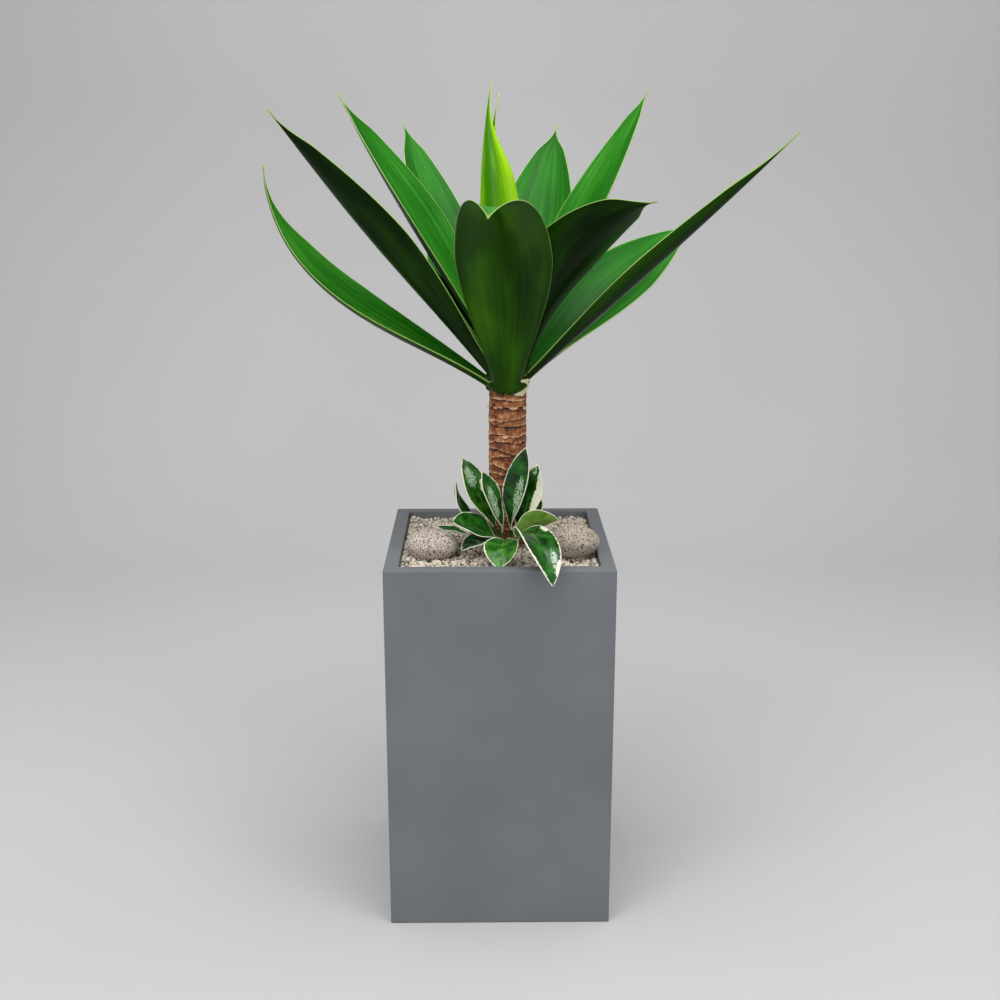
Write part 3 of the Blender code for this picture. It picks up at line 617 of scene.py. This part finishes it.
# ---------------------------------------------------- spear of rolled leaves
SPEAR_ROWS, SPEAR_COLUMNS = 96, 44
SPEAR_COMPASS, SPEAR_REACH, SPEAR_LEVEL = 195, 0.0125, 0.7875
SPEAR_LENGTH, SPEAR_WIDTH, SPEAR_THICK = 0.326, 0.122, 0.0026
SPEAR_CLIMB, SPEAR_FOLD = (76, 89, 100), (125, 145, 72)
SPEAR_BASE, SPEAR_PEAK, SPEAR_FULLNESS, SPEAR_TAIL = 0.24, 0.5, 0.7, 0.36
INNER_SPEAR_SHARE = 0.66     # width of the inner rolled leaf for that of the outer one
SPEAR_PACKED_ROWS = 18
spear_around = math.radians(SPEAR_COMPASS)
spear_root = (stem_crown_x + SPEAR_REACH * math.cos(spear_around), SPEAR_REACH * math.sin(spear_around),
              SPEAR_LEVEL)
spear_frames = leaf_frames(spear_root, SPEAR_COMPASS, 0, SPEAR_CLIMB, (0, 0, 0), SPEAR_LENGTH, SPEAR_ROWS,
                           SPEAR_PACKED_ROWS)
spear_shares = [row / SPEAR_ROWS for row in range(SPEAR_ROWS + 1)]
spear_widths = [max(TIP_HALF_WIDTH, SPEAR_WIDTH / 2 * agave_profile(share, SPEAR_BASE, SPEAR_PEAK,
                                                                    SPEAR_FULLNESS, SPEAR_TAIL))
                for share in spear_shares]
spear_folds = [math.radians(blend(SPEAR_FOLD, share)) for share in spear_shares]


def flat(share, s):
    return 0.0


def spear_thickness(share, s):
    return SPEAR_THICK * (1 - 0.6 * s * s) * (1 - 0.6 * share)


def spear_paint(share, s, edge_mm):
    left_band = -0.20 * ease(0.02, 0.30, s) * (1 - ease(0.55, 0.9, s))
    return {"edge_mm": edge_mm, "seed": 61.0, "under_tone": left_band + 0.05, "upper_tone": 0.05}


blade("agave_spear_outer", spear_frames, spear_widths, spear_folds, spear_thickness, SPEAR_COLUMNS, flat,
      spear_paint, (YOUNG_SKIN, YOUNG_SKIN, YOUNG_SKIN), ("spear_leaf_outer",))

inner_frames = []
inner_widths = []
for row, share in enumerate(spear_shares):
    centre, side_way, up_way = spear_frames[row]
    radius = spear_widths[row] / spear_folds[row]
    lean = 0.010 * ease(0.60, 1.0, share)
    lower = 0.012 * ease(0.70, 1.0, share)
    inner_frames.append((centre + up_way * (radius * 0.34 + lean) - Vector((0, 0, lower)), side_way, up_way))
    narrowed = 1 - 0.45 * ease(0.55, 0.80, share)
    inner_widths.append(max(0.0005, spear_widths[row] * INNER_SPEAR_SHARE * narrowed))
blade("agave_spear_inner", inner_frames, inner_widths, [f * 0.98 for f in spear_folds], spear_thickness,
      SPEAR_COLUMNS, flat, spear_paint, (YOUNG_SKIN, YOUNG_SKIN, YOUNG_SKIN),
      ("spear_leaf_inner",))

# ---------------------------------------------------------------- ringed stem
STEM_RADIUS = 0.0262
RING_TOP, RING_FOOT = 0.726, 0.488


def stem_axis_x(z):
    return stem_foot_x + STEM_LEAN * (z - stem_foot_z) / STEM_HEIGHT_TO_CROWN


ring_edges = []
level = RING_FOOT
while level < RING_TOP + 0.02:
    ring_edges.append((level, rng.uniform(0.0015, 0.0050), rng.uniform(0, math.tau), rng.uniform(0, 9)))
    level += rng.uniform(0.0085, 0.0165)


def ring_height(edge, angle):
    height, tilt, phase, seed = edge
    wobble = noise.noise(Vector((math.cos(angle) * 1.3, math.sin(angle) * 1.3, seed)))
    return height + tilt * math.cos(angle - phase) + 0.0034 * wobble


def ring_place(angle, z):
    """0 at the lip of the leaf scar below, 1 under the lip of the next."""
    below = ring_edges[0]
    for edge in ring_edges[1:]:
        top = ring_height(edge, angle)
        if z < top:
            foot = ring_height(below, angle)
            return min(1.0, max(0.0, (z - foot) / max(0.002, top - foot)))
        below = edge
    return 0.5


def stem_radius(z):
    if z > RING_TOP:
        return STEM_RADIUS - 0.0072 * ease(RING_TOP, RING_TOP + 0.06, z)
    if z < RING_FOOT:
        return 0.010 + (STEM_RADIUS - 0.010) * ease(stem_foot_z, 0.440, z)
    return STEM_RADIUS


STEM_ROWS, STEM_SIDES = 280, 120
builder = bmesh.new()
bmesh.ops.create_grid(builder, x_segments=STEM_ROWS, y_segments=STEM_SIDES, size=1.0)
scar_and_shade_layer = builder.verts.layers.float.new("scar")
stem_top_z = stem_high.z - 0.001
for vert in builder.verts:
    share = (vert.co.x + 1) / 2
    # A fifth of the rows is for the buried foot, which nothing shows.
    if share < 0.1:
        z = stem_foot_z + (RING_FOOT - stem_foot_z) * share / 0.1
    else:
        z = RING_FOOT + (stem_top_z - RING_FOOT) * (share - 0.1) / 0.9
    angle = -math.pi * vert.co.y
    place = ring_place(angle, z)
    lip = math.exp(-place / 0.13)
    crack_and_shade = math.exp(-(1 - place) / 0.10)
    rag = noise.noise(Vector((math.cos(angle) * 5, math.sin(angle) * 5, z * 160)))
    coarse = noise.noise(Vector((math.cos(angle) * 1.6, math.sin(angle) * 1.6, z * 45 + 3)))
    radius = stem_radius(z) - 0.0011 + 0.0010 * lip - 0.0013 * crack_and_shade + 0.0006 * rag + 0.0007 * coarse
    vert.co = (stem_axis_x(z) + radius * math.cos(angle), radius * math.sin(angle), z)
    # The scar value lightens each lip and darkens each crack under the next lip. The dark crack is painted
    # shade in the recess.
    vert[scar_and_shade_layer] = 0.34 * lip - 0.36 * crack_and_shade + 0.10 + 0.12 * rag
bmesh.ops.remove_doubles(builder, verts=builder.verts, dist=0.00002)
bmesh.ops.holes_fill(builder, edges=builder.edges, sides=0)
bmesh.ops.recalc_face_normals(builder, faces=builder.faces)

# Dry shreds of leaf sheath that still cling to the scars.
for shred in range(46):
    edge = ring_edges[rng.randrange(2, len(ring_edges) - 3)]
    angle = rng.uniform(0, math.tau)
    z = ring_height(edge, angle)
    wide, tall, curl = rng.uniform(0.08, 0.24), rng.uniform(0.0018, 0.0045), rng.uniform(0.0004, 0.0016)
    made = bmesh.ops.create_grid(builder, x_segments=5, y_segments=3, size=1.0)
    ragged = rng.uniform(0, 9)
    for vert in made["verts"]:
        u, v = vert.co.x, vert.co.y
        turned = angle + wide * u
        hang = (v + 1) / 2
        fray = 0.0010 * noise.noise(Vector((u * 3, v * 3, ragged)))
        radius = STEM_RADIUS - 0.0004 + curl * hang * hang
        height = z - tall * hang * (1 - 0.5 * u * u) + fray + 0.0008
        vert.co = (stem_axis_x(z) + radius * math.cos(turned), radius * math.sin(turned), height)
        vert[scar_and_shade_layer] = 0.26 + 0.2 * hang
    face_set = list({face for vert in made["verts"] for face in vert.link_faces})
    bmesh.ops.solidify(builder, geom=face_set, thickness=0.0004)
piece("ringed_stem", mesh_of("ringed_stem", builder), (BARK,), ("agave_stem",))

# Torn sheath on the stem's right shoulder.
builder = bmesh.new()
bmesh.ops.create_grid(builder, x_segments=26, y_segments=18, size=1.0)
bruise_layer = builder.verts.layers.float.new("bruise")
for vert in builder.verts:
    u, v = vert.co.x, vert.co.y
    angle = math.radians(-46 + 44 * u)
    torn = noise.noise(Vector((u * 2.6, 0.4, 2.0)))
    low = 0.7130 + 0.0030 * torn + 0.005 * u * u
    high = 0.7345
    z = low + (high - low) * (v + 1) / 2
    crumple = noise.noise(Vector((u * 3, v * 3, 5.0)))
    radius = STEM_RADIUS + 0.0004 + 0.0010 * crumple + 0.0030 * ease(0.715, 0.7345, z)
    vert.co = (stem_axis_x(z) + radius * math.cos(angle), radius * math.sin(angle), z)
    spot = math.hypot((u + 0.35) / 0.22, (v + 0.25) / 0.20)
    vert[bruise_layer] = 1 - ease(0.7, 1.0, spot)
shape = piece("torn_sheath", mesh_of("torn_sheath", builder), (SHEATH,))
wall = shape.modifiers.new("wall", "SOLIDIFY")
wall.thickness = 0.0012
wall.offset = -1.0

# --------------------------------------------------------------- two cobbles
COBBLES = (
    ("cobble_left", (0.0360, 0.0300, 0.0215), -6, 0.4, PALE_STONE, "pale_cobble"),
    ("cobble_right", (0.0345, 0.0300, 0.0225), 8, 1.9, BROWN_STONE, "brown_cobble"),
)
cobble_beds = []
for name, half_axes, turn, phase, finish, slot in COBBLES:
    low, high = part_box(name)
    centre = (low + high) / 2
    cobble_beds.append((centre, (high - low) / 2))
    builder = bmesh.new()
    bmesh.ops.create_icosphere(builder, subdivisions=6, radius=1.0)
    for vert in builder.verts:
        x, y, z = vert.co
        broad = 0.035 * math.sin(2.1 * x + phase) * math.cos(1.7 * y - phase)
        lump = 1 + broad + 0.02 * math.sin(3.3 * z + 2 * x)
        dent = 0.02 * noise.noise(vert.co * 3.1 + Vector((phase, 0, 0)))
        pit = min(0.0, noise.noise(vert.co * 17 + Vector((phase, 3, 0))) + 0.12)
        fine = noise.noise(vert.co * 38)
        vert.co = vert.co * (lump * 0.985 + dent + 0.045 * pit + 0.006 * fine)
    bmesh.ops.scale(builder, vec=half_axes, verts=builder.verts)
    bmesh.ops.rotate(builder, matrix=Matrix.Rotation(math.radians(turn), 3, "Z"), verts=builder.verts)
    bmesh.ops.translate(builder, vec=centre, verts=builder.verts)
    piece(name + "_worn", mesh_of(name + "_worn", builder), (finish,), (name,))

# ------------------------------------------------------------ granite gravel
bed_half = (gravel_high.x - gravel_low.x) / 2
GRAVEL_TOP = 0.5015


def gravel_height(x, y):
    reach = math.hypot(x - stem_crown_x, y) / 0.13
    heap = 0.0045 * max(0.0, 1 - reach * reach)
    return GRAVEL_TOP + heap + 0.0022 * noise.noise(Vector((x * 40, y * 40, 1.5)))


def clear_of_stones(x, y, margin):
    if math.hypot(x - stem_crown_x, y) < STEM_RADIUS + margin:
        return False
    return math.hypot(x - creeper_centre.x, y - creeper_centre.y) > 0.010 + margin


builder = bmesh.new()
bmesh.ops.create_grid(builder, x_segments=90, y_segments=90, size=bed_half)
bed_faces = list(builder.faces)
for vert in builder.verts:
    x, y = vert.co.x, vert.co.y
    vert.co.z = gravel_height(x, y) - 0.0045 + 0.0016 * noise.noise(Vector((x * 260, y * 260, 4)))
made = bmesh.ops.extrude_face_region(builder, geom=bed_faces)
for item in made["geom"]:
    if isinstance(item, bmesh.types.BMVert):
        item.co.z = soil_high.z + 0.0003
bmesh.ops.recalc_face_normals(builder, faces=builder.faces)
chip_layer = builder.verts.layers.float.new("chip")
for vert in builder.verts:
    vert[chip_layer] = 0.02
# Angular chips of 4 to 9 mm, set in a jittered grid and tipped at random. They
# are made a row at a time, because an operator slows down as its mesh grows.
PITCH = 0.0050
cells = int(2 * bed_half / PITCH)
for column in range(cells):
    batch = bmesh.new()
    batch_chip = batch.verts.layers.float.new("chip")
    for row in range(cells):
        x = -bed_half + (column + 0.5 + rng.uniform(-0.45, 0.45)) * 2 * bed_half / cells
        y = -bed_half + (row + 0.5 + rng.uniform(-0.45, 0.45)) * 2 * bed_half / cells
        big = rng.random() ** 2.2
        radius = 0.0022 + 0.0026 * big
        tint = rng.choice((0.02, 0.10, 0.22, 0.30, 0.34, 0.40, 0.46, 0.50, 0.58)) + rng.uniform(-0.04, 0.04)
        sit = rng.uniform(-0.0022, 0.0012)
        spin = Matrix.Rotation(rng.uniform(0, math.tau), 3, (rng.uniform(-1, 1), rng.uniform(-1, 1), 1))
        shapes = [rng.uniform(0.70, 1.15) for _ in range(3)]
        nicks = [rng.uniform(0.78, 1.18) for _ in range(12)]
        if not clear_of_stones(x, y, radius * 0.5):
            continue
        limit = bed_half - radius * 0.9
        x, y = max(-limit, min(limit, x)), max(-limit, min(limit, y))
        made = bmesh.ops.create_icosphere(batch, subdivisions=1, radius=1.0)
        for vert, nick in zip(made["verts"], nicks):
            vert.co = Vector([a * b * radius * nick for a, b in zip(vert.co, shapes)])
            vert[batch_chip] = tint
        bmesh.ops.rotate(batch, matrix=spin, verts=made["verts"])
        bmesh.ops.translate(batch, vec=(x, y, gravel_height(x, y) - 0.0016 + sit), verts=made["verts"])
    row_mesh = mesh_of("chip_row", batch)
    builder.from_mesh(row_mesh)
    bpy.data.meshes.remove(row_mesh)
piece("granite_chips", mesh_of("granite_chips", builder, smooth=False), (GRAVEL,),
      ("gravel_topping",))


# ------------------------------------------------------ variegated companion
def creeper_profile(share, petiole):
    along = max(0.0, (share - petiole) / (1 - petiole))
    if along < 0.5:
        width = math.sin(math.pi * along) ** 0.75
    else:
        fall = (along - 0.5) / 0.5
        width = max(0.0, 1 - fall) ** 0.9 * (1 + 0.9 * fall)
    return max(width, 0.058)


# Name, start angle on the crown, compass, length, width, climb angles, swing,
# roll angles, petiole share; then the cream margin in mm on each side, lime
# tone, and painted patches: kind, place along, place across, reach along,
# reach across.
CREEPER_LEAVES = (
    ("creeper_leaf_tall", 68, -8, 0.136, 0.035, (92, 80, 72), 0, (0, 84, 78), 0.14,
     0.9, 0.9, -0.08, (("silver", 0.45, -0.40, 0.42, 0.8),)),
    ("creeper_leaf_cream", 36, 5, 0.114, 0.042, (74, 74, 75), 0, (0, 60, 55), 0.14,
     1.3, 1.8, -0.02, (("cream", 0.62, -0.85, 0.50, 0.80), ("silver", 0.93, 0.1, 0.1, 0.6))),
    ("creeper_leaf_behind", 5, 40, 0.072, 0.030, (58, 46, 46), 0, (0, 10, 0), 0.30,
     1.0, 1.6, 0.0, ()),
    ("creeper_leaf_olive", -14, -12, 0.078, 0.036, (80, 40, -15), 0, (-20, -60, -60), 0.12,
     0.6, 0.8, 0.2, ()),
    ("creeper_leaf_trailing", 297, 292, 0.170, 0.048, (62, -5, -75), 0, (0, -10, 0), 0.15,
     2.2, 1.2, -0.02, (("cream", 0.88, 0.85, 0.1, 0.4), ("cream", 0.45, 0.9, 0.07, 0.28),
                        ("silver", 0.8, 0.5, 0.16, 0.35))),
    ("creeper_leaf_heart", 262, 261, 0.092, 0.046, (60, -10, -62), 0, (0, 0, 0), 0.30,
     1.3, 1.0, 0.14, ()),
    ("creeper_leaf_small_front", 234, 212, 0.070, 0.038, (38, 18, -40), 0, (0, 0, 0), 0.30,
     0.9, 1.0, -0.16, ()),
    ("creeper_leaf_broad", 208, 202, 0.083, 0.047, (52, 38, 5), 0, (-10, -30, -34), 0.12,
     0.7, 0.8, -0.02, ()),
    ("creeper_leaf_narrow", 184, 160, 0.095, 0.022, (16, 12, 6), 0, (0, 0, 0), 0.50,
     1.4, 1.4, -0.04, ()),
    ("creeper_leaf_far_left", 156, 170, 0.112, 0.034, (22, 50, 92), 0, (0, 0, 0), 0.20,
     1.2, 1.0, -0.06, ()),
    ("creeper_leaf_back_left", 130, 170, 0.129, 0.042, (65, 65, 65), 0, (0, -50, -40), 0.20,
     1.1, 1.3, 0.1, (("cream", 0.60, -0.60, 0.16, 0.42), ("silver", 0.80, 0.1, 0.22, 0.8))),
    ("creeper_leaf_folded", 106, 202, 0.109, 0.035, (76, 72, 68), 0, (0, -66, -60), 0.15,
     1.1, 1.0, 0.02, (("silver", 0.55, 0.0, 0.42, 0.9),)),
)
CREEPER_ROWS, CREEPER_COLUMNS = 56, 24
BLADE_THICK, PETIOLE_THICK = 0.0011, 0.0024
PATCH_STRENGTH = {"cream": 0.72, "silver": 0.52}

for number, leaf in enumerate(CREEPER_LEAVES):
    (name, start, compass, length, width, climb, swing, roll, petiole, margin_a, margin_b, lime,
     patches) = leaf
    around = math.radians(start)
    root = creeper_centre + Vector((0.0112 * math.cos(around), 0.0112 * math.sin(around), 0))
    frames = leaf_frames(root, compass, swing, climb, roll, length, CREEPER_ROWS, 10)
    shares = [row / CREEPER_ROWS for row in range(CREEPER_ROWS + 1)]
    widths = [max(0.0006, width / 2 * creeper_profile(share, petiole)) for share in shares]
    folds = [math.radians(blend((60, 20, 15), share)) for share in shares]

    def puckered(share, s, number=number, petiole=petiole):
        spread = ease(petiole, petiole + 0.2, share) * (1 - ease(0.85, 1.0, share))
        crease = 0.0016 * (abs(s) ** 0.7 - 1)
        veins = 0.0004 * math.sin(34 * (share - 0.22 * abs(s)) + number) * (1 - s * s)
        wave = 0.0013 * s * s * math.sin(13 * share + 2.1 * number + (1.6 if s > 0 else 0))
        return spread * (crease + veins + wave)

    def stalk_or_blade(share, s, petiole=petiole):
        return PETIOLE_THICK + (BLADE_THICK - PETIOLE_THICK) * ease(petiole, petiole + 0.06, share)

    def leaf_paint(share, s, edge_mm, margins=(margin_a, margin_b), lime=lime, patches=patches,
                   width=width, petiole=petiole):
        values = {"edge_mm": edge_mm, "lime": lime, "cream": 0.0, "silver": 0.0,
                  "margin_mm": margins[0] if s < 0 else margins[1],
                  "midrib_mm": abs(s) * width * 500 + 2 * ease(0.5, 1.0, share)}
        if share < petiole:
            values["edge_mm"] = 5.0
        for kind, along, across, reach_along, reach_across in patches:
            away = math.hypot((share - along) / reach_along, (s - across) / reach_across)
            values[kind] = max(values[kind], PATCH_STRENGTH[kind] * (1 - ease(0.35, 1.15, away)))
        return values

    blade(name + "_blade", frames, widths, folds, stalk_or_blade, CREEPER_COLUMNS, puckered, leaf_paint,
          (POTHOS_UPPER, POTHOS_UNDER, POTHOS_UPPER), (name,))

# Crown of the companion: a knuckled stub with the sheaths of old stalks.
builder = bmesh.new()
bmesh.ops.create_grid(builder, x_segments=40, y_segments=36, size=1.0)
for vert in builder.verts:
    share = (vert.co.x + 1) / 2
    angle = -math.pi * vert.co.y
    knuckle = 0.0006 * math.sin(share * 26) + 0.0006 * math.cos(5 * angle + 8 * share)
    radius = 0.0082 - 0.0016 * share + knuckle
    vert.co = (creeper_centre.x + radius * math.cos(angle), creeper_centre.y + radius * math.sin(angle),
               crown_low.z + (crown_high.z - crown_low.z) * share)
bmesh.ops.remove_doubles(builder, verts=builder.verts, dist=0.00002)
bmesh.ops.holes_fill(builder, edges=builder.edges, sides=0)
bmesh.ops.recalc_face_normals(builder, faces=builder.faces)
piece("creeper_crown_knuckled", mesh_of("creeper_crown_knuckled", builder), (PETIOLE,),
      ("creeper_crown",))

# --------------------------------------------------------- floor and backdrop
FLOOR_PAINT, tree, shader = finish_named("painted_studio_floor", 0.85)
where = add(tree, "ShaderNodeTexCoord").outputs["Object"]
mottle = add(tree, "ShaderNodeTexNoise", {"Vector": where, "Scale": 1.2, "Detail": 2.0}).outputs[0]
pales = add(tree, "ShaderNodeValToRGB", {"Fac": mottle},
            stops=((0.3, linear("#c4c4c4")), (0.7, linear("#c8c8c8")))).outputs[0]
tree.links.new(pales, shader.inputs["Base Color"])
builder = bmesh.new()
bmesh.ops.create_grid(builder, x_segments=1, y_segments=48, size=1.0)
FLOOR_FRONT, FLOOR_LENGTH = -6.0, 7.4
BEND_START, BEND_RADIUS, WALL_RISE = 1.4, 1.2, 5.0
for vert in builder.verts:
    step = (vert.co.y + 1) / 2
    if step < 0.25:
        y, z = FLOOR_FRONT + FLOOR_LENGTH * step / 0.25, 0.0
    elif step < 0.75:
        bend = (step - 0.25) / 0.5 * math.pi / 2
        y, z = BEND_START + BEND_RADIUS * math.sin(bend), BEND_RADIUS * (1 - math.cos(bend))
    else:
        y, z = BEND_START + BEND_RADIUS, BEND_RADIUS + WALL_RISE * (step - 0.75) / 0.25
    vert.co = (vert.co.x * 7, y, z)
sweep = bpy.data.objects.new("studio_sweep", mesh_of("studio_sweep", builder))
sweep.data.materials.append(FLOOR_PAINT)
bpy.context.scene.collection.objects.link(sweep)
sweep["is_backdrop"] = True


def softbox(name, place, aim, size, watts, colour=(1, 1, 1)):
    lamp = bpy.data.lights.new(name, "AREA")
    lamp.shape = "RECTANGLE"
    lamp.size, lamp.size_y = size
    lamp.energy = watts
    lamp.color = colour
    holder = bpy.data.objects.new(name, lamp)
    holder.location = place
    holder.rotation_euler = (Vector(aim) - Vector(place)).to_track_quat("-Z", "Y").to_euler()
    bpy.context.scene.collection.objects.link(holder)


softbox("overhead_softbox", (0.1, -0.5, 3.0), (0, 0, 0.6), (2.4, 2.4), 78)
softbox("front_left_softbox", (-2.2, -2.4, 1.9), (0, 0, 0.6), (1.6, 1.8), 30)
softbox("front_right_softbox", (2.4, -2.2, 1.6), (0, 0, 0.6), (1.6, 1.8), 17)

world = bpy.data.worlds.new("studio")
world.use_nodes = True
world.node_tree.nodes["Background"].inputs["Color"].default_value = (1, 1, 1, 1)
world.node_tree.nodes["Background"].inputs["Strength"].default_value = 0.36
bpy.context.scene.world = world
bpy.context.scene.view_settings.view_transform = "Standard"

# -------------------------------------------------------------------- camera
lens = bpy.data.cameras.new("camera")
lens.lens = 46.42
lens.sensor_width = 36.0
camera = bpy.data.objects.new("camera", lens)
camera.location = (-0.018, -1.715, 1.026)
camera.rotation_euler = (math.radians(74.9), 0.0, math.radians(-0.66))
bpy.context.scene.collection.objects.link(camera)
bpy.context.scene.camera = camera

low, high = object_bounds()
